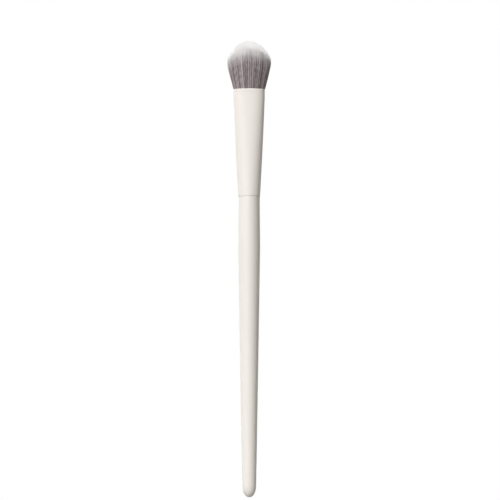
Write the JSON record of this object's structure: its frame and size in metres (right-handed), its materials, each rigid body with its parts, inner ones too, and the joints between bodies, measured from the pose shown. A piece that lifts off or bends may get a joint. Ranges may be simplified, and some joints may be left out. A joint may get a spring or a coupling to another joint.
{
  "type": "concealer brush",
  "caption": "Concealer brush with a slim tapered handle, a ferrule pressed to an oval and a domed two-tone head of fine bristle.",
  "frame": {"origin": "on the brush's axis at the handle's swell, where the fingers hold it", "axes": "+Z along the brush towards the hair, +X across the broad side of the head, -Y out of the broad side that the picture shows"},
  "size_m": [0.0156, 0.0102, 0.1702],
  "materials": {
    "handle_lacquer": "satin warm white lacquer on turned wood",
    "ferrule_lacquer": "satin warm white lacquer on aluminium",
    "hair": "fine synthetic bristle, mauve-grey with white tips",
    "resin": "cured resin",
    "thread": "undyed tie thread",
    "glue": "cured glue"
  },
  "bodies": {
    "root": {"handle": "handle_lacquer", "ferrule": "ferrule_lacquer", "bristle_tuft": "hair", "resin_plug": "resin", "root_thread": "thread", "adhesive_ring_1": "glue", "adhesive_ring_2": "glue", "adhesive_ring_3": "glue"}
  },
  "joints": []
}
